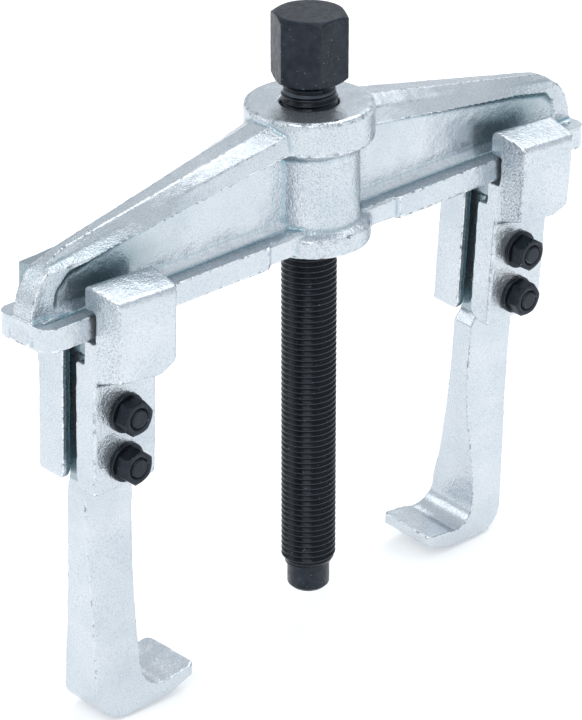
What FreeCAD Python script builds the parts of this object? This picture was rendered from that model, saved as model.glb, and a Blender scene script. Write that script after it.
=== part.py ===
"""Two-arm sliding-jaw gear puller: forged beam, pressure spindle and two hooked arms.

Each arm hangs between the two halves of a clamp that slides along the rail at the beam's foot.
X runs along the beam, -Y is the side with the nuts, +Z is up along the spindle.
The whole puller stands on its hooks, and the origin is on the spindle's axis at their level.
Millimetres throughout. The model is drawn with Z = 0 at the rail's underside, then lifted.
"""
import FreeCAD, Part
import math
import os

from FreeCAD import Vector

# Beam: a forged girder with a machined rail along its foot
BEAM_HALF = 92.6            # half of the rail's length
NOSE = 0.9                  # the flange's arch runs down the rail's end and stands out by this much
RAIL_HALF_Y = 9.6           # half of the rail's width
RAIL_H = 6.2                # height of the rail's front face
RAIL_START = 21.7           # where the machined rail begins, from the spindle's axis
RAIL_CORNER_R = 4.0         # rounding of the rail's four outer corners
FOOT_HALF_Y = 9.0           # half width of the forged foot between the rails
WEB_HALF_Y = 3.6            # half thickness of the web between rail and top flange
FLANGE_LOW = (28.7, 0.140)  # flange's lower edge: height at the axis and fall per millimetre
FLANGE_EDGE = (34.3, 0.191)     # the same for the flange's upper edge
FLANGE_CROWN = (36.6, 0.193)    # the same for the crown of the flange
FLANGE_LOW_HALF = (8.9, 0.038)      # half widths: at the axis and loss per millimetre
FLANGE_EDGE_HALF = (8.6, 0.078)
FLANGE_CROWN_HALF = (3.4, 0.026)
ARCH_HALF_Y = (6.2, 3.4)    # half widths of the arched end, 75 mm and 88 mm from the axis
GROOVE_HALF_Y = 4.9         # the rail's machined top runs in to this half width
GROOVE_DEPTH = 0.5

# Boss that the spindle screws through
BOSS_R = 12.7
BOSS_TOP = 35.3
TOP_COLLAR_R = 16.3
TOP_COLLAR_H = 9.0
FOOT_COLLAR_R = 15.5
FOOT_COLLAR_TOP = 4.3
FOOT_COLLAR_BOTTOM = -0.8
TOP_BLEND = 2.2             # height of the cone from the top collar to the boss
FOOT_BLEND = 1.3            # height of the sloping ledge from the foot collar to the boss
BORE_R = 7.01
COUNTERSINK_R = 7.6

# Spindle: fine metric thread 14 mm across, with a hexagon head
SPINDLE_R = 6.95
SHANK_LENGTH = 139.1
HEAD_BOTTOM = 40.7
HEAD_AF = 17.0
HEAD_H = 17.2
HEAD_TURN = 61.2            # direction of one corner of the hexagon, in degrees
TIP_R = 5.42
TIP_LENGTH = 7.4
TIP_CHAMFER = 1.1
BALL_R = 2.5
BALL_SHOWS = 0.6            # how far the ball stands out of the tip
SOCKET_GAP = 0.04

# Clamp halves, drawn as the front one with X = 0 on the bolts
PLATE_HALF_X = 9.8          # on the side with the open lips
PLATE_WALL_X = 10.2         # on the side closed by a wall
PLATE_OUTER_Y = 10.1
LIP_Y = 3.3                 # inner face of the lips that hold the arm's tongue
RECESS_Y = 6.3              # pocket for the arm's head
LIP_TOP = -7.2
LIP_FOOT_R = 5.0            # rounding of the lips' lower corners
PLATE_BOTTOM = -42.0
WALL_X = 7.4                # inner face of the wall that closes one side of each half
WALL_Y = 0.7                # the wall reaches in to here
BLOCK_OUTER_Y = 18.0
BLOCK_BOTTOM = -8.2         # lower edge of the block's front face
BLOCK_BOTTOM_FALL = 3.0     # its underside falls by this much on its way back to the plate
BLOCK_TOP_BACK = 14.0
BLOCK_TOP_FRONT = 11.8
BLOCK_TOP_FALL = 0.9        # the block's top falls by this much towards its walled side
CLAW_TIP_Y = 6.5            # the claws reach in over the rail to here
RAIL_GAP_Y = 0.65           # beside the rail
RAIL_GAP_Z = 0.8            # above and below it, the play that lets a clamp lean

# Arms, with X = 0 on the bolts and +X towards the spindle
TONGUE_HALF_Y = 3.2
TONGUE_HALF_X = 6.3
ARM_HEAD_HALF_X = 7.0
ARM_HEAD_HALF_Y = 6.1
ARM_HEAD_TOP = -1.3
ARM_HEAD_BOTTOM = -7.0
SHOULDER = -45.0            # full width of the bar starts here
BAR_BACK = -6.9
BAR_FRONT = 8.3
HOOK_REACH = 24.4           # from the bolts to the hook's edge
HOOK_HALF_Y = 8.5           # the hook's half width on one side of the bar
HOOK_WIDE_Y = 9.5           # and on the other
HOOK_EDGE_TOP = -100.9
HOOK_EDGE_T = 3.4           # thickness of the hook's edge
HOOK_ROOT_TOP = -102.4
HOOK_BOTTOM = -108.1

# Fasteners, 5 mm thread
BOLT_R = 2.5
BOLT_HOLE_R = 2.65
BOLT_Z = (-21.6, -34.7)
NUT_AF = 8.0
NUT_H = 4.0
WASHER_R = 5.0
WASHER_H = 1.0
BOLT_HEAD_H = 3.5
BOLT_PROUD = 0.2
NUT_TURNS = {"left": (8, 20), "right": (28, 4)}     # how far each nut is turned, in degrees

# Where the two clamps stand, and how each leans in its play on the rail, in degrees:
# rolled about the rail's length, then turned about the upright
PLACES = {"left": (-69.2, 2.0, 0.0, False), "right": (68.0, 3.6, -1.3, True)}
ROLL_CENTRE_Z = RAIL_H / 2


def line_value(law, x):
    """Value of a (start, loss per millimetre) law at a distance from the axis."""
    start, loss = law
    return start - loss * abs(x)


def rounded_wire(corners, plane):
    """Closed wire through (a, b, radius) corners, lifted to 3-D by plane(a, b)."""
    points = [(Vector(a, b, 0), r) for a, b, r in corners]
    edges = []
    starts = []
    for i, (corner, radius) in enumerate(points):
        before = points[i - 1][0]
        after = points[(i + 1) % len(points)][0]
        if radius == 0:
            starts.append((corner, corner, None))
            continue
        to_before = (before - corner).normalize()
        to_after = (after - corner).normalize()
        half = to_before.getAngle(to_after) / 2
        reach = radius / math.tan(half)
        middle = (to_before + to_after).normalize()
        middle = corner + middle * (radius / math.sin(half) - radius)
        starts.append((corner + to_before * reach, corner + to_after * reach, middle))
    for i, (enter, leave, middle) in enumerate(starts):
        if middle is not None:
            arc = [plane(p.x, p.y) for p in (enter, middle, leave)]
            edges.append(Part.Arc(*arc).toShape())
        next_enter = starts[(i + 1) % len(starts)][0]
        if (next_enter - leave).Length > 1e-6:
            edges.append(Part.makeLine(plane(leave.x, leave.y), plane(next_enter.x, next_enter.y)))
    return Part.Wire(edges)


def prism(corners, plane, sweep):
    """Solid swept from a rounded outline."""
    return Part.Face(rounded_wire(corners, plane)).extrude(sweep)


def front_view(y):
    """Plane facing the front, at depth y."""
    return lambda a, b: Vector(a, y, b)


def end_view(x):
    """Plane across the beam, at x."""
    return lambda a, b: Vector(x, a, b)


def plan_view(z):
    """Level plane at height z."""
    return lambda a, b: Vector(a, b, z)


def hexagon(across_flats, height, z, turn=0.0):
    """Hexagonal prism standing on height z."""
    radius = across_flats / math.sqrt(3)
    corners = []
    for i in range(6):
        angle = math.radians(turn + 60 * i)
        corners.append((radius * math.cos(angle), radius * math.sin(angle), 0))
    return prism(corners, plan_view(z), Vector(0, 0, height))


def chamfered_hexagon(across_flats, height, z, turn=0.0, both=True):
    """Hexagon whose corners are cut back by 30 degree cones at the top, and at the foot too."""
    radius = across_flats / math.sqrt(3)
    drop = (radius - across_flats / 2 * 0.96) * math.tan(math.radians(30))
    outline = [(0, z), (radius - (drop / math.tan(math.radians(30)) if both else 0), z)]
    if both:
        outline.append((radius, z + drop))
    outline += [(radius, z + height - drop), (across_flats / 2 * 0.96, z + height), (0, z + height)]
    corners = [(r, h, 0) for r, h in outline]
    turned = Part.Face(rounded_wire(corners, lambda a, b: Vector(a, 0, b)))
    turned = turned.revolve(Vector(0, 0, 0), Vector(0, 0, 1), 360)
    return hexagon(across_flats, height, z, turn).common(turned)


# ---------------------------------------------------------------- beam

def girder_half():
    """Solid girder from the axis to the end at +X, before its pockets are cut."""
    crown_end = 80.0
    top_start = line_value(FLANGE_CROWN, 0) + 1
    top_end = line_value(FLANGE_CROWN, crown_end)
    foot_end = BEAM_HALF + NOSE
    arch_start = foot_end - 1.7
    edges = [
        Part.makeLine(Vector(0, 0, 0.4), Vector(foot_end, 0, 0.4)),
        Part.makeLine(Vector(foot_end, 0, 0.4), Vector(arch_start, 0, 8.5)),
        Part.Arc(Vector(arch_start, 0, 8.5), Vector(88.5, 0, 15.8),
                 Vector(crown_end, 0, top_end)).toShape(),
        Part.makeLine(Vector(crown_end, 0, top_end), Vector(0, 0, top_start)),
        Part.makeLine(Vector(0, 0, top_start), Vector(0, 0, 0.4)),
    ]
    side = Part.Face(Part.Wire(edges))
    side.translate(Vector(0, -12, 0))
    side = side.extrude(Vector(0, 24, 0))
    sections = []
    for x in (0, BEAM_HALF + 2):
        low_y = line_value(FLANGE_LOW_HALF, x)
        edge_y = line_value(FLANGE_EDGE_HALF, x)
        crown_y = line_value(FLANGE_CROWN_HALF, x)
        low_z = line_value(FLANGE_LOW, x)
        edge_z = line_value(FLANGE_EDGE, x)
        crown_z = line_value(FLANGE_CROWN, x)
        half = [(low_y, -1.0), (low_y, low_z), (edge_y, edge_z), (crown_y, crown_z)]
        outline = half + [(-y, z) for y, z in reversed(half)]
        sections.append(rounded_wire([(y, z, 0) for y, z in outline], end_view(x)))
    girder = Part.makeLoft(sections, True, True).common(side)
    end = BEAM_HALF + 3
    front = [(0, -12, 0), (62, -12, 0), (75, -ARCH_HALF_Y[0], 0), (88, -ARCH_HALF_Y[1], 3),
             (end, -ARCH_HALF_Y[1], 0)]
    waist = front + [(x, -y, r) for x, y, r in reversed(front)]
    return girder.common(prism(waist, plan_view(-2), Vector(0, 0, 45)))


def pocket_outline(inset, depth):
    """Outline of the recess beside the web: level foot, arched end, sloping top."""
    foot = RAIL_H - 0.05 + inset * 0.9
    end = 87.6 - inset
    start = 4.0
    roof_start = line_value(FLANGE_LOW, start) - inset * 0.5
    bend = 76.5 - inset * 0.4
    roof_end = line_value(FLANGE_LOW, bend) - inset * 0.5
    corners = [(start, foot, 0), (end, foot, 0), (end - 0.6, 12.0, 3.5), (bend + 5.5, roof_end - 1.6, 4.0),
               (bend - 6, line_value(FLANGE_LOW, bend - 6) - inset * 0.5, 0), (start, roof_start, 0)]
    return rounded_wire(corners, front_view(depth))


def pocket():
    """Drafted recess on the front of the girder, from the open side in to the web."""
    open_side = pocket_outline(0, -WEB_HALF_Y - 8.0)
    lip = pocket_outline(0.05, -WEB_HALF_Y - 1.5)
    web = pocket_outline(2.6, -WEB_HALF_Y)
    outer = Part.makeLoft([open_side, lip], True, True)
    return outer.fuse(Part.makeLoft([lip, web], True, True))


def boss():
    """Turned boss with a collar at each end."""
    profile = [
        (0, FOOT_COLLAR_BOTTOM, 0), (FOOT_COLLAR_R, FOOT_COLLAR_BOTTOM, 0.8),
        (FOOT_COLLAR_R, FOOT_COLLAR_TOP, 0.8), (BOSS_R, FOOT_COLLAR_TOP + FOOT_BLEND, 1.2),
        (BOSS_R, BOSS_TOP - TOP_COLLAR_H - TOP_BLEND, 1.6), (TOP_COLLAR_R, BOSS_TOP - TOP_COLLAR_H, 1.2),
        (TOP_COLLAR_R, BOSS_TOP, 1.4), (0, BOSS_TOP, 0),
    ]
    face = Part.Face(rounded_wire(profile, lambda a, b: Vector(a, 0, b)))
    return face.revolve(Vector(0, 0, 0), Vector(0, 0, 1), 360)


def make_beam():
    """Forged beam with rails, boss, pockets and the bore for the spindle."""
    half = girder_half()
    front = pocket()
    half = half.cut(front).cut(front.mirror(Vector(0, 0, 0), Vector(0, 1, 0)))
    rail = prism([(RAIL_START, -RAIL_HALF_Y, 1.2), (BEAM_HALF, -RAIL_HALF_Y, RAIL_CORNER_R),
                  (BEAM_HALF, RAIL_HALF_Y, RAIL_CORNER_R), (RAIL_START, RAIL_HALF_Y, 1.2)],
                 plan_view(0), Vector(0, 0, RAIL_H))
    foot = Part.makeBox(RAIL_START + 2, 2 * FOOT_HALF_Y, RAIL_H - 1.0, Vector(0, -FOOT_HALF_Y, 0.4))
    half = half.fuse([rail, foot])
    groove = Part.makeBox(BEAM_HALF - RAIL_START - 4, 1.0, GROOVE_DEPTH,
                          Vector(RAIL_START + 1.5, -GROOVE_HALF_Y - 0.5, RAIL_H - GROOVE_DEPTH))
    half = half.cut([groove, groove.mirror(Vector(0, 0, 0), Vector(0, 1, 0))])
    beam = half.fuse([half.mirror(Vector(0, 0, 0), Vector(1, 0, 0)), boss()])
    top = Part.makeCylinder(60, 20, Vector(0, 0, BOSS_TOP))
    beam = beam.cut(top)
    bore = Part.makeCylinder(BORE_R, 60, Vector(0, 0, -10))
    sink = COUNTERSINK_R - BORE_R
    upper_sink = Part.makeCone(BORE_R, COUNTERSINK_R, sink, Vector(0, 0, BOSS_TOP - sink))
    lower_sink = Part.makeCone(COUNTERSINK_R, BORE_R, sink, Vector(0, 0, FOOT_COLLAR_BOTTOM))
    return beam.cut([bore, upper_sink, lower_sink]).removeSplitter()


# ------------------------------------------------------------- spindle

def spindle_end():
    """Height of the spindle's lower end."""
    return HEAD_BOTTOM - SHANK_LENGTH


def ball_centre():
    """Centre of the ball that stands out of the spindle's tip."""
    return Vector(0, 0, spindle_end() + BALL_R - BALL_SHOWS)


def make_spindle():
    """Hexagon head, neck, threaded shank and plain tip with a ball socket."""
    end = spindle_end()
    shank_end = end + TIP_LENGTH + 1.0
    shank = Part.makeCylinder(SPINDLE_R, HEAD_BOTTOM - shank_end, Vector(0, 0, shank_end))
    run_out = Part.makeCone(TIP_R, SPINDLE_R, 1.0, Vector(0, 0, end + TIP_LENGTH))
    tip = Part.makeCylinder(TIP_R, TIP_LENGTH - TIP_CHAMFER, Vector(0, 0, end + TIP_CHAMFER))
    nose = Part.makeCone(TIP_R - TIP_CHAMFER, TIP_R, TIP_CHAMFER, Vector(0, 0, end))
    head = chamfered_hexagon(HEAD_AF, HEAD_H, HEAD_BOTTOM, HEAD_TURN)
    body = head.fuse([shank, run_out, tip, nose])
    socket = Part.makeSphere(BALL_R + SOCKET_GAP, ball_centre())
    return body.cut(socket).removeSplitter()


def make_ball():
    """Hard ball that stays still on the shaft's end while the spindle turns."""
    return Part.makeSphere(BALL_R, ball_centre())


# -------------------------------------------------------------- clamps

def half_profile(inner_y, foot_r, notch):
    """End view of a clamp half; the notch is the open pocket above the lip for the arm's head."""
    low = BLOCK_BOTTOM - 2.4
    under = -RAIL_GAP_Z
    over = RAIL_H + RAIL_GAP_Z
    beside = RAIL_HALF_Y + RAIL_GAP_Y
    pocket_side = [(-inner_y, LIP_TOP, 1.0), (-RECESS_Y, LIP_TOP, 0), (-RECESS_Y, under, 0)]
    wall_side = [(-inner_y, under, 1.0)]
    return [
        (-PLATE_OUTER_Y, PLATE_BOTTOM, 1.8), (-inner_y, PLATE_BOTTOM, foot_r),
        *(pocket_side if notch else wall_side),
        (-beside, under, 0), (-beside, over, 0), (-CLAW_TIP_Y, over, 0.6),
        (-CLAW_TIP_Y, BLOCK_TOP_BACK + 1, 0), (-BLOCK_OUTER_Y, BLOCK_TOP_BACK + 1, 0),
        (-BLOCK_OUTER_Y, low, 1.0), (-PLATE_OUTER_Y, low - BLOCK_BOTTOM_FALL, 0),
    ]


def make_clamp_half():
    """Front half: a claw over the rail, a thick block in front and a plate with a wall below it."""
    lips = prism(half_profile(LIP_Y, LIP_FOOT_R, True), end_view(-PLATE_HALF_X),
                 Vector(WALL_X + PLATE_HALF_X, 0, 0))
    wall = prism(half_profile(WALL_Y, LIP_FOOT_R - 1, False), end_view(WALL_X),
                 Vector(PLATE_WALL_X - WALL_X, 0, 0))
    half = lips.fuse(wall)
    top = BLOCK_TOP_BACK + 1
    block_front = [
        (-PLATE_HALF_X, BLOCK_BOTTOM - 0.3, 1.8), (4.4, BLOCK_BOTTOM - 2.1, 5.0),
        (PLATE_WALL_X, BLOCK_BOTTOM + 0.8, 2.5), (PLATE_WALL_X, top, 0), (-PLATE_HALF_X, top, 0),
    ]
    sections = []
    for y, shift in ((-BLOCK_OUTER_Y - 1, BLOCK_BOTTOM_FALL / 8), (-PLATE_OUTER_Y, -BLOCK_BOTTOM_FALL)):
        outline = [(x, z + (shift if z < 0 else 0), r) for x, z, r in block_front]
        sections.append(rounded_wire(outline, front_view(y)))
    block_zone = Part.makeLoft(sections, True, True)
    plate_front = [
        (-PLATE_HALF_X, PLATE_BOTTOM, 2.0), (PLATE_WALL_X, PLATE_BOTTOM, 3.0),
        (PLATE_WALL_X, top, 2.0), (-PLATE_HALF_X, top, 2.0),
    ]
    plate_zone = prism(plate_front, front_view(-PLATE_OUTER_Y), Vector(0, PLATE_OUTER_Y, 0))
    plan = [
        (-PLATE_HALF_X, 0, 0), (-PLATE_HALF_X, -PLATE_OUTER_Y, 0), (-PLATE_HALF_X + 0.8, -BLOCK_OUTER_Y, 1.0),
        (PLATE_WALL_X - 0.3, -BLOCK_OUTER_Y, 2.2), (PLATE_WALL_X, -PLATE_OUTER_Y, 0), (PLATE_WALL_X, 0, 0),
    ]
    draft = prism(plan, plan_view(PLATE_BOTTOM - 1), Vector(0, 0, top - PLATE_BOTTOM + 2))
    edge = [
        (-PLATE_HALF_X, 1, 0), (-PLATE_HALF_X, -PLATE_OUTER_Y, 0.8), (PLATE_WALL_X, -PLATE_OUTER_Y, 1.2),
        (PLATE_WALL_X, 1, 0),
    ]
    block_low = BLOCK_BOTTOM - 4
    plate_only = prism(edge, plan_view(PLATE_BOTTOM - 1), Vector(0, 0, block_low - PLATE_BOTTOM + 1))
    above = Part.makeBox(2 * PLATE_HALF_X + 2, 30, top - block_low + 1,
                         Vector(-PLATE_HALF_X - 1, -29, block_low))
    half = half.common(block_zone.fuse(plate_zone)).common(draft).common(plate_only.fuse(above))
    roof = [(-CLAW_TIP_Y, BLOCK_TOP_BACK, 1.8), (-BLOCK_OUTER_Y, BLOCK_TOP_FRONT, 2.0),
            (-BLOCK_OUTER_Y, -20, 0), (-CLAW_TIP_Y, -20, 0)]
    roof = prism(roof, end_view(-PLATE_HALF_X), Vector(PLATE_WALL_X + PLATE_HALF_X, 0, -BLOCK_TOP_FALL))
    below = Part.makeBox(40, 30, -PLATE_BOTTOM, Vector(-20, -29, PLATE_BOTTOM - RAIL_GAP_Z / 2))
    half = half.common(roof.fuse(below))
    holes = [Part.makeCylinder(BOLT_HOLE_R, 30, Vector(0, 0, z), Vector(0, -1, 0)) for z in BOLT_Z]
    return half.cut(holes).removeSplitter()


def arm_section(x_out, x_in, y_out, y_in, z_out, z_in):
    """Section of an arm from its back (out) to its inner side (in); y is (front, rear) half width."""
    corners = [Vector(x_out, -y_out[0], z_out), Vector(x_in, -y_in[0], z_in),
               Vector(x_in, y_in[1], z_in), Vector(x_out, y_out[1], z_out)]
    return Part.makePolygon(corners + corners[:1])


def make_arm():
    """Arm with a T head between the clamp halves, a bar that flares and a hook at its foot."""
    head = Part.makeBox(2 * ARM_HEAD_HALF_X, 2 * ARM_HEAD_HALF_Y, ARM_HEAD_TOP - ARM_HEAD_BOTTOM,
                        Vector(-ARM_HEAD_HALF_X, -ARM_HEAD_HALF_Y, ARM_HEAD_BOTTOM))
    tongue = Part.makeBox(2 * TONGUE_HALF_X, 2 * TONGUE_HALF_Y, ARM_HEAD_BOTTOM - SHOULDER,
                          Vector(-TONGUE_HALF_X, -TONGUE_HALF_Y, SHOULDER + 1))
    back = BAR_BACK
    inner = BAR_FRONT
    neck = (TONGUE_HALF_Y, TONGUE_HALF_Y)
    # how far the back edge leans in, and the half widths of back and inner side, down the bar
    flare = [
        (0.0, (3.4, 3.4), (3.6, 3.3), SHOULDER),
        (0.2, (3.6, 3.6), (3.6, 3.1), -59.0),
        (0.9, (4.2, 4.4), (4.2, 4.0), -70.5),
        (1.3, (4.7, 5.2), (4.9, 6.0), -79.0),
        (1.4, (5.1, 5.5), (5.8, 7.9), -87.3),
        (1.4, (5.6, 5.8), (7.0, HOOK_HALF_Y), -92.6),
    ]
    bar = [arm_section(-TONGUE_HALF_X, TONGUE_HALF_X, neck, neck, SHOULDER + 3.2, SHOULDER + 3.2)]
    for lean, back_half, inner_half, z in flare:
        bar.append(arm_section(back + lean, inner, back_half, inner_half, z, z))
    turn = []
    knee_r = 7.6
    knee_x = back + 1.4 + knee_r
    knee_z = HOOK_BOTTOM + knee_r
    inner_r = 5.6
    steps = 6
    for i in range(steps + 1):
        angle = math.radians(90 * i / steps)
        share = i / steps
        x_out = knee_x - knee_r * math.cos(angle)
        z_out = knee_z - knee_r * math.sin(angle)
        x_in = inner + inner_r - inner_r * math.cos(angle)
        z_in = HOOK_ROOT_TOP + inner_r - inner_r * math.sin(angle)
        y_out = (5.7 + share * 2.6, 6.2 + share * 1.4)
        y_in = (7.3 + share * 1.7, HOOK_HALF_Y)
        turn.append(arm_section(x_out, x_in, y_out, y_in, z_out, z_in))
    edge_bottom = HOOK_EDGE_TOP - HOOK_EDGE_T
    low = (HOOK_WIDE_Y - 0.4, HOOK_HALF_Y - 0.4)
    top = (HOOK_WIDE_Y, HOOK_HALF_Y)
    hook = [
        arm_section(15.4, 16.0, low, top, HOOK_BOTTOM + 0.8, HOOK_ROOT_TOP + 0.5),
        arm_section(HOOK_REACH - 0.4, HOOK_REACH, low, top, edge_bottom, HOOK_EDGE_TOP),
    ]
    body = Part.makeLoft(bar + turn + hook, True, True)
    arm = body.fuse([head, tongue])
    corners = [(-20, -HOOK_WIDE_Y - 1, 0), (HOOK_REACH, -HOOK_WIDE_Y, 2.2),
               (HOOK_REACH, HOOK_HALF_Y, 2.2), (-20, HOOK_HALF_Y + 1, 0)]
    arm = arm.common(prism(corners, plan_view(HOOK_BOTTOM - 1), Vector(0, 0, 1 - HOOK_BOTTOM)))
    holes = [Part.makeCylinder(BOLT_HOLE_R, 30, Vector(0, 15, z), Vector(0, -1, 0)) for z in BOLT_Z]
    return arm.cut(holes).removeSplitter()


def lay_along_y(shape, y, z):
    """Turns a fastener drawn upright so that its top faces -Y, with its foot at y and its axis at z."""
    shape.rotate(Vector(0, 0, 0), Vector(1, 0, 0), 90)
    shape.translate(Vector(0, y, z))
    return shape


def make_fasteners(z, turn):
    """Bolt from the rear, washer and nut in front, on an axis at height z."""
    plate = PLATE_OUTER_Y
    stack = WASHER_H + NUT_H
    length = 2 * plate + stack + BOLT_PROUD
    shank = Part.makeCylinder(BOLT_R, length - 0.6)
    end = Part.makeCone(BOLT_R, BOLT_R - 0.4, 0.6, Vector(0, 0, length - 0.6))
    head = chamfered_hexagon(NUT_AF, BOLT_HEAD_H, -BOLT_HEAD_H, 0, False)
    head = head.mirror(Vector(0, 0, -BOLT_HEAD_H / 2), Vector(0, 0, 1))
    bolt = lay_along_y(head.fuse([shank, end]).removeSplitter(), plate, z)
    washer = Part.makeCylinder(WASHER_R, WASHER_H).cut(Part.makeCylinder(BOLT_HOLE_R, WASHER_H))
    nut = chamfered_hexagon(NUT_AF, NUT_H, 0, turn).cut(Part.makeCylinder(BOLT_R + 0.03, NUT_H))
    mouth = Part.makeCone(BOLT_R + 0.03, BOLT_R + 0.5, 0.5, Vector(0, 0, NUT_H - 0.5))
    washer = lay_along_y(washer, -plate, z)
    nut = lay_along_y(nut.cut(mouth), -plate - WASHER_H, z)
    return bolt, washer, nut


def make_clamp(side):
    """All the pieces of one side, placed on the rail."""
    x, roll, turn_about, flipped = PLACES[side]
    front = make_clamp_half()
    rear = make_clamp_half()
    rear.rotate(Vector(0, 0, 0), Vector(0, 0, 1), 180)
    arm = make_arm()
    if flipped:
        arm.rotate(Vector(0, 0, 0), Vector(0, 0, 1), 180)
    pieces = {"slide_front": front, "slide_rear": rear, "arm": arm}
    for name, z, turn in zip(("upper", "lower"), BOLT_Z, NUT_TURNS[side]):
        bolt, washer, nut = make_fasteners(z, turn)
        pieces.update({f"{name}_bolt": bolt, f"{name}_washer": washer, f"{name}_nut": nut})
    for piece in pieces.values():
        piece.rotate(Vector(0, 0, ROLL_CENTRE_Z), Vector(1, 0, 0), roll)
        piece.rotate(Vector(0, 0, 0), Vector(0, 0, 1), turn_about)
        piece.translate(Vector(x, 0, 0))
    return {f"{side}_{name}": piece for name, piece in pieces.items()}


# ------------------------------------------------------------ assembly

def make_parts():
    """Every piece by name, standing on the lowest hook."""
    parts = {"beam": make_beam(), "spindle": make_spindle(), "thrust_ball": make_ball()}
    for side in PLACES:
        parts.update(make_clamp(side))
    floor = min(shape.optimalBoundingBox(False).ZMin for shape in parts.values())
    for shape in parts.values():
        shape.translate(Vector(0, 0, -floor))
    return parts, -floor


parts, lift = make_parts()
os.makedirs("parts", exist_ok=True)
for name, shape in parts.items():
    solid = shape.Solids[0] if len(shape.Solids) == 1 else shape
    solid.exportStep(f"parts/{name}.step")
    print(name, len(shape.Solids), shape.isValid(), round(shape.Volume, 1))
print("lift", round(lift, 4))
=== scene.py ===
"""Two-arm sliding-jaw gear puller: zinc-plated forgings, a black spindle and black fasteners."""
import bpy
import bmesh
import math
import numpy as np
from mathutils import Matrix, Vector


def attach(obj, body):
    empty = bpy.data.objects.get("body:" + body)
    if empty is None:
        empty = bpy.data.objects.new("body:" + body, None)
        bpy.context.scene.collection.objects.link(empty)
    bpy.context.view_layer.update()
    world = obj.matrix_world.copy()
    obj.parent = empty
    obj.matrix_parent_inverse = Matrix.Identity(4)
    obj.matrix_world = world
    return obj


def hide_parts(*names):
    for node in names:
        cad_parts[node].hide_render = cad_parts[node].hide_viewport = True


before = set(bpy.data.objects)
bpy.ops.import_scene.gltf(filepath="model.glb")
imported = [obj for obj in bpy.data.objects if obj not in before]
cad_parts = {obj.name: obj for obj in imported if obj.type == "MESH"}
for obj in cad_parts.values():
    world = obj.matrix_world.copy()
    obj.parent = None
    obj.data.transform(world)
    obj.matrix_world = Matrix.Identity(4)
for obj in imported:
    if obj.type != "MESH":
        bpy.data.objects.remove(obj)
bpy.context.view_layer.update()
COARSER = 1.0
FEWER = 1.0       # and so needs fewer smoothing rounds
MM = 0.001
LIFT = 108.3578                     # height of the rail's underside, millimetres

# Forgings and fasteners, millimetres
BEAM_VOXEL = 0.36
FORGING_VOXEL = 0.34
FASTENER_VOXEL = 0.15
EDGE_ROUNDS = 8                     # smoothing that measure_edges compares with
COLLAR_R = 16.3                     # widest part of the boss
BOSS_TOP = 35.3
RAIL_TOP = 6.2
ABOVE_RAIL = 7.0                    # what is higher belongs to the forging on the rail
GROOVE_Y = 4.9                      # line along which the web meets the rail's top
ARCH_START = 58                     # the beam's arched ends begin here
POCKET_HALF_Y = 6.6                 # half width of the pocket that holds an arm's head
PLATE_BOTTOM = -42                  # lower end of the clamp halves
CLAMPS = (("left", -69.2, 0.6),     # side, x of its clamp, coarseness of its blocks' skin
          ("right", 68.0, 1.0))

# Spindle, millimetres; heights from the rail's underside
THREAD_R = 6.95
THREAD_PITCH = 1.5
THREAD_DEPTH = 0.92
THREAD_LOW = -90.3
THREAD_HIGH = 38.3
THREAD_RUN_OUT = 1.2                # the crest fades into the root over this length
THREAD_STEPS = 72                   # per turn
ROOT_R = THREAD_R - THREAD_DEPTH
TIP_R = 5.42
TIP_LENGTH = 7.4
TIP_CHAMFER = 1.1
SPINDLE_END = -98.4
NECK_LOW = 36.2
NECK_R = 5.55
FLARE_R = 7.5
HEAD_BOTTOM = 40.7
HEAD_VOXEL = 0.24
BALL_R = 2.5
BALL_SHOWS = 0.6

# Studio, metres and watts
FLOOR_HALF = 6.0
FLOOR_Z = -0.0005
FLOOR_GLOW = 0.24
WORLD_COLOUR = (0.90, 0.95, 1.0, 1)
WORLD_STRENGTH = 0.78
LIGHTS = {                          # place, height aimed at, size, power, colour
    "key": ((-0.9, -0.5, 1.3), 0.10, (0.9, 0.9), 5.0, (1.0, 0.99, 0.97)),
    "front": ((0.5, -1.5, 0.6), 0.08, (1.5, 1.0), 1.8, (0.97, 0.99, 1.0)),
    "back": ((0.93, 0.40, 1.20), 0.10, (0.9, 0.9), 3.0, (1, 1, 1)),
    "top": ((0.48, 0.05, 1.35), 0.10, (0.8, 0.8), 2.4, (1, 1, 1)),
    "side": ((-1.0, 1.1, 0.95), 0.10, (0.8, 0.8), 2.4, (1, 1, 1)),
}
CAMERA_PLACE = (-0.552617, -0.563032, 0.341977 + LIFT * MM)
CAMERA_FORWARD = (0.62852, 0.64763, -0.43073)
CAMERA_LENS = 216.01                # millimetres, on a sensor 36 wide


# ------------------------------------------------------------ mesh tools

def add_object(name, data):
    obj = bpy.data.objects.new(name, data)
    bpy.context.scene.collection.objects.link(obj)
    return obj


def new_object(name, verts, faces):
    mesh = bpy.data.meshes.new(name)
    mesh.from_pydata(verts, [], faces)
    mesh.update()
    return add_object(name, mesh)


def copy_of(name, node):
    """New object with a copy of the CAD node's mesh, welded."""
    bm = bmesh.new()
    bm.from_mesh(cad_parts[node].data)
    bmesh.ops.remove_doubles(bm, verts=bm.verts, dist=1e-6)
    mesh = bpy.data.meshes.new(name)
    bm.to_mesh(mesh)
    bm.free()
    return add_object(name, mesh)


def close_holes(bm):
    bmesh.ops.holes_fill(bm, edges=[edge for edge in bm.edges if edge.is_boundary], sides=0)


def shade_smooth(obj):
    obj.data.polygons.foreach_set("use_smooth", [True] * len(obj.data.polygons))
    obj.data.update()


def apply_modifiers(obj):
    bpy.context.view_layer.update()
    depsgraph = bpy.context.evaluated_depsgraph_get()
    mesh = bpy.data.meshes.new_from_object(obj.evaluated_get(depsgraph))
    obj.modifiers.clear()
    old = obj.data
    obj.data = mesh
    bpy.data.meshes.remove(old)


def coords(obj):
    flat = np.empty(len(obj.data.vertices) * 3)
    obj.data.vertices.foreach_get("co", flat)
    return flat.reshape(-1, 3)


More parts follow.
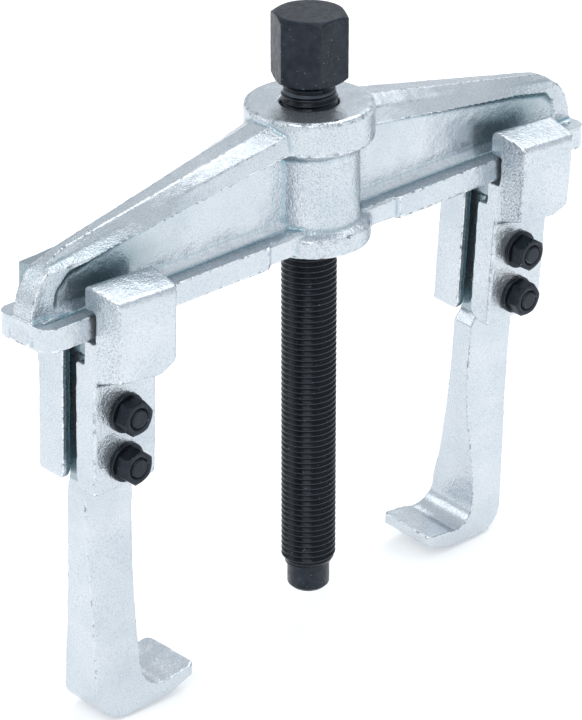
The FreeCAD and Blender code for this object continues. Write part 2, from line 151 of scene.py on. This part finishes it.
def rail_points(obj):
    """The vertices in millimetres, with height 0 at the rail's underside."""
    return coords(obj) / MM - np.array([0, 0, LIFT])


def normals_of(obj):
    flat = np.empty(len(obj.data.vertices) * 3, dtype=np.float32)
    obj.data.vertex_normals.foreach_get("vector", flat)
    return flat.reshape(-1, 3)


def remesh(obj, voxel):
    modifier = obj.modifiers.new("voxels", "REMESH")
    modifier.mode = "VOXEL"
    modifier.voxel_size = voxel * MM * COARSER
    apply_modifiers(obj)


def soften(obj, rounds, weight=None):
    """Rounds the edges. weight gets rail_points and gives 0 to 1: 0 keeps an edge crisp."""
    modifier = obj.modifiers.new("soften", "SMOOTH")
    modifier.factor = 0.5
    modifier.iterations = max(1, int(rounds / FEWER))
    if weight is not None:
        tenths = np.round(weight(rail_points(obj)) * 10).astype(int)
        group = obj.vertex_groups.new(name="soft")
        for tenth in range(1, 11):
            picked = np.where(tenths == tenth)[0]
            if len(picked):
                group.add(picked.tolist(), tenth / 10, "REPLACE")
        modifier.vertex_group = "soft"
    apply_modifiers(obj)
    obj.vertex_groups.clear()


def dent(obj, name, size, depth):
    """Presses the surface in by up to depth, following clouds of a size, both in millimetres."""
    texture = bpy.data.textures.new(name, "CLOUDS")
    texture.noise_scale = size * MM
    texture.noise_depth = 2
    modifier = obj.modifiers.new("dent", "DISPLACE")
    modifier.texture = texture
    modifier.texture_coords = "GLOBAL"
    modifier.strength = depth * MM
    modifier.mid_level = 1.0
    apply_modifiers(obj)


def store(obj, name, values):
    attribute = obj.data.attributes.new(name, "FLOAT", "POINT")
    attribute.data.foreach_set("value", values.astype(np.float32))


def measure_edges(obj, gain):
    """Stores as "proud" how far each vertex stands above the smoothed surface, in mm times gain."""
    smooth = obj.copy()
    smooth.data = obj.data.copy()
    bpy.context.scene.collection.objects.link(smooth)
    soften(smooth, EDGE_ROUNDS)
    proud = np.sum((coords(obj) - coords(smooth)) * normals_of(obj), axis=1) / MM * gain
    smoothed_mesh = smooth.data
    bpy.data.objects.remove(smooth)
    bpy.data.meshes.remove(smoothed_mesh)
    store(obj, "proud", proud)


def paint(obj, name, rule):
    """Stores a value from 0 to 1 per vertex; rule gets rail_points and the normals."""
    store(obj, name, np.clip(rule(rail_points(obj), normals_of(obj)), 0, 1))


def finish_with(obj, material):
    obj.data.materials.clear()
    obj.data.materials.append(material)


def place(obj, body, slot, *nodes):
    shade_smooth(obj)
    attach(obj, body)
    if nodes:
        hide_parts(*nodes)


def lathe(name, profile, steps=96):
    """Turned solid from (radius, height) points, bottom to top, the first and last on the axis."""
    verts, faces = [], []
    inner = profile[1:-1]
    for radius, height in inner:
        for i in range(steps):
            angle = 2 * math.pi * i / steps
            verts.append((radius * math.cos(angle) * MM, radius * math.sin(angle) * MM,
                          (height + LIFT) * MM))
    for ring in range(len(inner) - 1):
        for i in range(steps):
            a, b = ring * steps + i, ring * steps + (i + 1) % steps
            faces.append((a, b, b + steps, a + steps))
    low, high = len(verts), len(verts) + 1
    verts += [(0, 0, (height + LIFT) * MM) for height in (profile[0][1], profile[-1][1])]
    last = (len(inner) - 1) * steps
    for i in range(steps):
        faces.append((low, (i + 1) % steps, i))
        faces.append((high, last + i, last + (i + 1) % steps))
    return new_object(name, verts, faces)


# ------------------------------------------------------------- materials

def grey(level):
    return (level, level, level, 1)


def scaled(colour, gain):
    return tuple(gain * value for value in colour) + (1,)


class Nodes:
    """Small helper that adds and links shader nodes."""

    def __init__(self, name):
        self.material = bpy.data.materials.new(name)
        self.material.use_nodes = True
        self.tree = self.material.node_tree
        self.shader = self.tree.nodes["Principled BSDF"]
        self.point = self.add("ShaderNodeTexCoord").outputs["Object"]

    def add(self, kind, **values):
        node = self.tree.nodes.new(kind)
        for key, value in values.items():
            setattr(node, key, value)
        return node

    def link(self, source, target):
        self.tree.links.new(source, target)

    def drive(self, socket, source):
        """Links a value that varies over the surface to the shader."""
        self.link(source, self.shader.inputs[socket])

    def fix(self, socket, value):
        """Sets a value that is the same all over on the shader's own socket."""
        self.shader.inputs[socket].default_value = value

    def noise(self, scale, detail=2.0, rough=0.5):
        node = self.add("ShaderNodeTexNoise")
        self.link(self.point, node.inputs["Vector"])
        node.inputs["Scale"].default_value = scale
        node.inputs["Detail"].default_value = detail
        node.inputs["Roughness"].default_value = rough
        return node.outputs["Fac"]

    def painted(self, name):
        return self.add("ShaderNodeAttribute", attribute_name=name).outputs["Fac"]

    def pointiness(self, low, high):
        return self.spread(self.add("ShaderNodeNewGeometry").outputs["Pointiness"], low, high)

    def spread(self, value, low, high, to_low=0.0, to_high=1.0):
        node = self.add("ShaderNodeMapRange")
        self.link(value, node.inputs["Value"])
        for socket, number in (("From Min", low), ("From Max", high),
                               ("To Min", to_low), ("To Max", to_high)):
            node.inputs[socket].default_value = number
        return node.outputs["Result"]

    def times(self, first, second):
        node = self.add("ShaderNodeMath", operation="MULTIPLY")
        self.link(first, node.inputs[0])
        self.link(second, node.inputs[1])
        return node.outputs["Value"]

    def mix(self, share, first, second):
        """Colour between first and second; each is a socket or a constant."""
        node = self.add("ShaderNodeMix", data_type="RGBA")
        self.link(share, node.inputs[0])
        for socket, value in ((node.inputs[6], first), (node.inputs[7], second)):
            if isinstance(value, tuple):
                socket.default_value = value
            else:
                self.link(value, socket)
        return node.outputs[2]

    def bump(self, height, strength, distance, below=None):
        """Bump of a distance in millimetres, on top of the bump below."""
        node = self.add("ShaderNodeBump")
        node.inputs["Strength"].default_value = strength
        node.inputs["Distance"].default_value = distance * MM
        self.link(height, node.inputs["Height"])
        if below is not None:
            self.link(below, node.inputs["Normal"])
        return node.outputs["Normal"]


def zinc(name):
    """Bright zinc plate on a forged skin.

    Painted values: the shade value turns hollows, recesses and undersides dark teal as painted shade,
    rough coarsens the grain, proud finds the edges and creases, which get a painted highlight and
    painted shade.
    """
    n = Nodes(name)
    shade_and_tone, rough, proud = n.painted("shade_and_tone"), n.painted("rough"), n.painted("proud")
    cloudy = n.spread(n.noise(70, 3.0), 0.3, 0.7)
    colour = n.mix(cloudy, (0.575, 0.625, 0.67, 1), (0.675, 0.71, 0.745, 1))
    grain = n.noise(2600, 2.0, 0.6)
    freckles = n.times(n.spread(grain, 0.38, 0.50, 1.0, 0.0), n.spread(rough, 0.0, 1.0, 0.16, 0.80))
    colour = n.mix(freckles, colour, (0.20, 0.27, 0.32, 1))
    # Painted shade: creases, where the surface lies below the smoothed one, turn dark teal.
    crease_shade = n.spread(proud, -0.012, -0.055)
    colour = n.mix(crease_shade, colour, (0.30, 0.42, 0.48, 1))
    # Painted highlight: edges that stand proud turn nearly white, broken up by noise.
    break_up = n.spread(n.noise(420, 3.0, 0.6), 0.38, 0.58, 0.35, 1.0)
    edge_highlight = n.times(n.spread(proud, 0.018, 0.05), break_up)
    colour = n.mix(edge_highlight, colour, (0.95, 0.97, 0.99, 1))
    nicks = n.spread(n.noise(520, 4.0, 0.75), 0.42, 0.47, 0.75, 0.0)
    colour = n.mix(n.times(n.spread(proud, 0.010, 0.03), nicks), colour, (0.12, 0.15, 0.19, 1))
    pits = n.spread(n.noise(330, 5.0, 0.75), 0.27, 0.30, 0.6, 0.0)
    colour = n.mix(pits, colour, (0.20, 0.26, 0.31, 1))
    # Painted shade from the shade value: hollows, recesses and undersides turn dark teal.
    n.drive("Base Color", n.mix(shade_and_tone, colour, (0.050, 0.145, 0.175, 1)))
    n.drive("Roughness", n.spread(n.noise(300, 3.0), 0.3, 0.7, 0.17, 0.30))
    n.fix("Metallic", 0.86)
    waves = n.bump(n.noise(260, 3.0, 0.55), strength=0.5, distance=0.30)
    wrinkles = n.mix(rough, grey(0.5), n.noise(1300, 2.5, 0.6))
    crinkle = n.bump(wrinkles, strength=0.9, distance=0.42, below=waves)
    n.drive("Normal", n.bump(grain, strength=0.5, distance=0.07, below=crinkle))
    return n.material


def black_oxide(name, rough, depth):
    """Black oxide on steel: blue-black with a satin sheen, faint grain, painted shade in the creases
    and lighter edges that are partly wear and partly painted highlight.
    """
    n = Nodes(name)
    cloudy = n.spread(n.noise(400, 3.0), 0.35, 0.7)
    colour = n.mix(cloudy, scaled((0.017, 0.022, 0.031), depth), scaled((0.031, 0.040, 0.055), depth))
    dust = n.spread(n.noise(1800, 2.0, 0.7), 0.68, 0.74)
    colour = n.mix(dust, colour, (0.18, 0.20, 0.23, 1))
    # Lighter edges are partly wear and partly painted highlight; creases get painted shade, near
    # black.
    edge_wear_and_highlight, crease_shade = n.pointiness(0.53, 0.60), n.pointiness(0.485, 0.43)
    colour = n.mix(edge_wear_and_highlight, colour, (0.13, 0.15, 0.18, 1))
    n.drive("Base Color", n.mix(crease_shade, colour, (0.002, 0.002, 0.003, 1)))
    n.drive("Roughness", n.spread(n.noise(700, 2.0), 0.3, 0.7, rough - 0.07, rough + 0.09))
    n.fix("Metallic", 0.55)
    n.fix("Specular IOR Level", 0.32)
    n.drive("Normal", n.bump(n.noise(1800, 3.0, 0.6), strength=0.4, distance=0.07))
    return n.material


def polished_steel(name):
    n = Nodes(name)
    n.drive("Base Color", n.mix(n.noise(900), (0.60, 0.61, 0.63, 1), (0.72, 0.73, 0.75, 1)))
    n.drive("Roughness", n.spread(n.noise(1500), 0.3, 0.7, 0.10, 0.18))
    n.fix("Metallic", 1.0)
    return n.material


def floor_white(name):
    n = Nodes(name)
    n.drive("Base Color", n.mix(n.noise(3), grey(0.93), grey(0.95)))
    n.fix("Roughness", 0.9)
    n.fix("Emission Color", grey(1))
    n.fix("Emission Strength", FLOOR_GLOW)
    return n.material


FORGED = zinc("forged_zinc")
OXIDE = black_oxide("black_oxide", 0.38, 0.85)
OXIDE_THREAD = black_oxide("black_oxide_thread", 0.20, 0.30)
BALL = polished_steel("ball_steel")


# ----------------------------------------------------------------- beam
# In the rules below x, y and z are rail_points, in millimetres

def between(value, low, high):
    return (value > low) & (value < high)


def bell(value, centre, width):
    return np.exp(-((value - centre) / width) ** 2)


def rail_weight(points):
    """Forged skin is soft, the machined rail stays crisp."""
    x, y, z = points.T
    machined = (np.abs(x) > 20) & (z < ABOVE_RAIL) & (np.abs(y) > GROOVE_Y - 0.7)
    return np.where(machined, 0.2, 1.0)


def boss_weight(points):
    """Only the turned boss and its collars."""
    radius = np.hypot(points[:, 0], points[:, 1])
    return np.clip((COLLAR_R + 1.7 - radius) / 1.5, 0, 1)


def beam_shade_and_tone(points, normals):
    """Painted shade at the dark ends of the side pockets, in dark grooves and on shadowed undersides,
    and a faint grey tone on the rail top.
    """
    x, y, z = np.abs(points[:, 0]), np.abs(points[:, 1]), points[:, 2]
    up = normals[:, 2]
    # Painted shade at the pocket ends, under the flange.
    pocket_end_shade = 0.66 * bell(x, 68, 15) * bell(z, 13, 6.5) * (y < 7.5)
    rail_top = 0.04 * ((x > 21) & (y > GROOVE_Y - 0.9) & (up > 0.6)
                       & between(z, RAIL_TOP - 1.2, RAIL_TOP + 0.4))
    # Painted shade in the groove where the web meets the rail's top.
    groove_shade = 0.45 * (between(x, 22, 89) & between(y, GROOVE_Y - 0.6, GROOVE_Y + 0.6)
                     & between(z, RAIL_TOP - 1.0, RAIL_TOP - 0.15))
    # Painted shadow on downward faces above the rail.
    underside = 0.35 * ((up < -0.3) & (z > 8) & (y < 9))
    return pocket_end_shade + rail_top + groove_shade + underside


def beam_rough(points, normals):
    """Coarse skin on the boss, on the arched ends and on the collars' sides."""
    x, y, z = points.T
    boss = 0.34 * np.clip((COLLAR_R + 1.2 - np.hypot(x, y)) / 2, 0, 1) * (z < BOSS_TOP - 0.5)
    ends = 0.28 * np.clip((np.abs(x) - ARCH_START) / 14, 0, 1) * (z > ABOVE_RAIL)
    return np.maximum(boss, ends) + 0.12


def make_beam():
    beam = copy_of("forged_beam", "beam")
    remesh(beam, BEAM_VOXEL)
    soften(beam, 5, rail_weight)
    soften(beam, 6, boss_weight)
    dent(beam, "beam_broad", size=9.0, depth=0.30)
    dent(beam, "beam_fine", size=1.6, depth=0.07)
    measure_edges(beam, gain=1.0)
    # Painted shade in the pockets, grooves and undersides, and a faint grey tone on the rail top.
    paint(beam, "shade_and_tone", beam_shade_and_tone)
    paint(beam, "rough", beam_rough)
    finish_with(beam, FORGED)
    place(beam, "beam", "forged_zinc", "beam")


# --------------------------------------------------------------- clamps

def slide_shade(clamp_x):
    """Painted shade in the pocket for the arm's head, under block and claws, and on the rear block.
    """
    def rule(points, normals):
        x, y, z = np.abs(points[:, 0] - clamp_x), np.abs(points[:, 1]), points[:, 2]
        side, up = normals[:, 0], normals[:, 2]
        # Painted shade in the recess that holds the arm's head, under the claws and under the block.
        inside = 0.80 * ((y < POCKET_HALF_Y) & (z < 0.4) & (x < 9.0))
        claw = 0.45 * ((up < -0.5) & (z > RAIL_TOP - 1.2))
        under = 0.35 * ((up < -0.5) & between(z, -13, -5) & (y > 10))
        # Painted shade on the rear block's top and on its faces towards minus x.
        rear = 0.55 * ((points[:, 1] > 9) & (z > -9) & ((side < -0.5) | (up > 0.6)))
        return inside + claw + under + rear
    return rule


def slide_rough(coarseness):
    """Coarse skin on the block's sides, smoother on its top and on the plate."""
    def rule(points, normals):
        block = (np.abs(points[:, 1]) > 10.4) & (points[:, 2] > -12)
        side = np.abs(normals[:, 0]) > 0.55
        on_block = np.where(side, coarseness, 0.35 * coarseness)
        return np.where(block, on_block, 0.30)
    return rule


def arm_shade(points, normals):
    """Painted shade on the tongue between the clamp halves."""
    return 0.45 * ((points[:, 2] > PLATE_BOTTOM) & (np.abs(points[:, 1]) < POCKET_HALF_Y))


def arm_rough(points, normals):
    """Fine skin, a little coarser half way down the bar."""
    return 0.10 + 0.10 * bell(points[:, 2], -70, 12)


def make_forging(node, body, rounds, fine_dent, edge_gain, shade_and_tone, rough):
    obj = copy_of(f"forged_{node}", node)
    remesh(obj, FORGING_VOXEL)
    soften(obj, rounds)
    dent(obj, f"{node}_broad", size=7.0, depth=0.22)
    dent(obj, f"{node}_fine", size=1.5, depth=fine_dent)
    measure_edges(obj, gain=edge_gain)
    # Painted shade in recesses, under blocks and claws, and on the arm's tongue.
    paint(obj, "shade_and_tone", shade_and_tone)
    paint(obj, "rough", rough)
    finish_with(obj, FORGED)
    place(obj, body, "forged_zinc", node)


def make_fastener(node, body):
    """Bolt, washer or nut with softly rounded edges."""
    obj = copy_of(f"oxide_{node}", node)
    remesh(obj, FASTENER_VOXEL)
    soften(obj, 3)
    finish_with(obj, OXIDE)
    place(obj, body, "black_oxide", node)


def make_clamp(side, clamp_x, coarseness):
    body = f"{side}_clamp"
    for half in ("front", "rear"):
        make_forging(f"{side}_slide_{half}", body, rounds=5, fine_dent=0.08, edge_gain=0.7,
                     shade_and_tone=slide_shade(clamp_x), rough=slide_rough(coarseness))
    make_forging(f"{side}_arm", body, rounds=7, fine_dent=0.04, edge_gain=0.5,
                 shade_and_tone=arm_shade, rough=arm_rough)
    for level in ("upper", "lower"):
        for fastener in ("bolt", "washer", "nut"):
            make_fastener(f"{side}_{level}_{fastener}", body)


# -------------------------------------------------------------- spindle

def make_thread():
    """Helical thread: one strip wound round the shank, its ends hidden in the neck and the tip."""
    flat, flank, bevel, land = 0.10, 0.30, 0.04, 0.12       # shares of the pitch
    rise = flat + flank
    fall = rise + 2 * bevel + land
    shoulder = THREAD_R - 0.03
    profile = [(0.0, ROOT_R), (flat, ROOT_R), (rise, shoulder), (rise + bevel, THREAD_R),
               (fall - bevel, THREAD_R), (fall, shoulder), (fall + flank, ROOT_R)]
    width = len(profile)
    count = int((THREAD_HIGH - THREAD_LOW) / THREAD_PITCH * THREAD_STEPS)
    verts, faces = [], []
    for i in range(count + THREAD_STEPS + 1):
        angle = 2 * math.pi * i / THREAD_STEPS
        base = THREAD_LOW + THREAD_PITCH * (i / THREAD_STEPS - 1)
        for share, radius in profile:
            z = base + share * THREAD_PITCH
            to_end = min(z - THREAD_LOW, THREAD_HIGH - z)
            r = ROOT_R + (radius - ROOT_R) * min(1.0, max(0.0, to_end / THREAD_RUN_OUT))
            verts.append((r * math.cos(angle) * MM, r * math.sin(angle) * MM, (z + LIFT) * MM))
    for i in range(count + THREAD_STEPS):
        start = i * width
        for a in range(start, start + width - 1):
            faces.append((a, a + width, a + width + 1, a + 1))
        if i < count:                                       # joins the turn above
            top = start + width - 1
            upper = start + THREAD_STEPS * width
            faces.append((top, top + width, upper + width, upper))
    obj = new_object("spindle_thread", verts, faces)
    bm = bmesh.new()
    bm.from_mesh(obj.data)
    bmesh.ops.remove_doubles(bm, verts=bm.verts, dist=1e-7)
    close_holes(bm)
    bmesh.ops.recalc_face_normals(bm, faces=bm.faces)
    bm.to_mesh(obj.data)
    bm.free()
    finish_with(obj, OXIDE_THREAD)
    return obj


def make_head():
    """The CAD spindle cut off under its hexagon, with worn edges."""
    head = copy_of("spindle_head", "spindle")
    bm = bmesh.new()
    bm.from_mesh(head.data)
    cut = (HEAD_BOTTOM + LIFT - 0.02) * MM
    bmesh.ops.bisect_plane(bm, geom=bm.verts[:] + bm.edges[:] + bm.faces[:],
                           plane_co=(0, 0, cut), plane_no=(0, 0, -1), clear_outer=True)
    close_holes(bm)
    bm.to_mesh(head.data)
    bm.free()
    remesh(head, HEAD_VOXEL)
    soften(head, 3)
    dent(head, "head_fine", size=1.2, depth=0.07)
    finish_with(head, OXIDE)
    return head


def make_neck():
    """Plain neck from inside the thread, flaring out under the hexagon and ending inside it."""
    sleeve = ROOT_R + 0.3
    top = HEAD_BOTTOM + 0.2
    neck = lathe("spindle_neck", [
        (0, NECK_LOW), (ROOT_R - 0.3, NECK_LOW), (sleeve, NECK_LOW + 0.7),
        (sleeve, THREAD_HIGH + 0.2), (NECK_R + 0.10, THREAD_HIGH + 0.4),
        (NECK_R, HEAD_BOTTOM - 1.1), (NECK_R + 0.25, HEAD_BOTTOM - 0.6),
        (FLARE_R - 0.5, HEAD_BOTTOM - 0.3), (FLARE_R, HEAD_BOTTOM - 0.1), (FLARE_R, top), (0, top)])
    finish_with(neck, OXIDE)
    return neck


def make_tip():
    """Turned tip: a seat with a rim round the ball, a chamfered end, and a top inside the thread."""
    end = SPINDLE_END
    top = end + TIP_LENGTH
    rim = math.sqrt((BALL_R + 0.05) ** 2 - (BALL_R - BALL_SHOWS) ** 2)
    face = TIP_R - TIP_CHAMFER
    tip = lathe("spindle_tip", [
        (0, end + 1.6), (rim - 0.5, end + 1.1), (rim, end + 0.12), (rim + 0.15, end),
        (face - 0.15, end), (face + 0.1, end + 0.12),
        (TIP_R - 0.12, end + TIP_CHAMFER - 0.1), (TIP_R, end + TIP_CHAMFER + 0.2),
        (TIP_R, top - 0.3), (TIP_R + 0.1, top),
        (ROOT_R - 0.05, top + 0.5), (ROOT_R - 0.05, top + 3.0), (0, top + 3.0)])
    finish_with(tip, OXIDE)
    return tip


def make_spindle():
    thread, head, neck, tip = make_thread(), make_head(), make_neck(), make_tip()
    place(thread, "spindle", "black_oxide", "spindle")
    for piece in (head, neck, tip):
        place(piece, "spindle", "black_oxide")
    finish_with(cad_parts["thrust_ball"], BALL)


# --------------------------------------------------------------- studio

def make_floor():
    corners = [(-1, -1), (1, -1), (1, 1), (-1, 1)]
    floor = new_object("floor", [(x * FLOOR_HALF, y * FLOOR_HALF, FLOOR_Z) for x, y in corners],
                       [(0, 1, 2, 3)])
    finish_with(floor, floor_white("floor_white"))


def area_light(name, location, aim_height, size, power, colour):
    data = bpy.data.lights.new(name, "AREA")
    data.shape = "RECTANGLE"
    data.size, data.size_y = size
    data.energy = power
    data.color = colour
    light = add_object(name, data)
    light.location = location
    aim = Vector((0, 0, aim_height)) - Vector(location)
    light.rotation_euler = aim.to_track_quat("-Z", "Y").to_euler()


def make_world():
    world = bpy.data.worlds.new("studio")
    world.use_nodes = True
    background = world.node_tree.nodes["Background"]
    background.inputs["Color"].default_value = WORLD_COLOUR
    background.inputs["Strength"].default_value = WORLD_STRENGTH
    bpy.context.scene.world = world


def make_camera():
    data = bpy.data.cameras.new("camera")
    data.sensor_fit = "HORIZONTAL"
    data.sensor_width = 36
    data.lens = CAMERA_LENS
    data.clip_end = 20
    camera = add_object("camera", data)
    camera.location = CAMERA_PLACE
    camera.rotation_euler = Vector(CAMERA_FORWARD).to_track_quat("-Z", "Y").to_euler()
    bpy.context.scene.camera = camera


make_beam()
for clamp in CLAMPS:
    make_clamp(*clamp)
make_spindle()
make_floor()
for name, values in LIGHTS.items():
    area_light(name, *values)
make_world()
make_camera()
bpy.context.scene.view_settings.view_transform = "Standard"
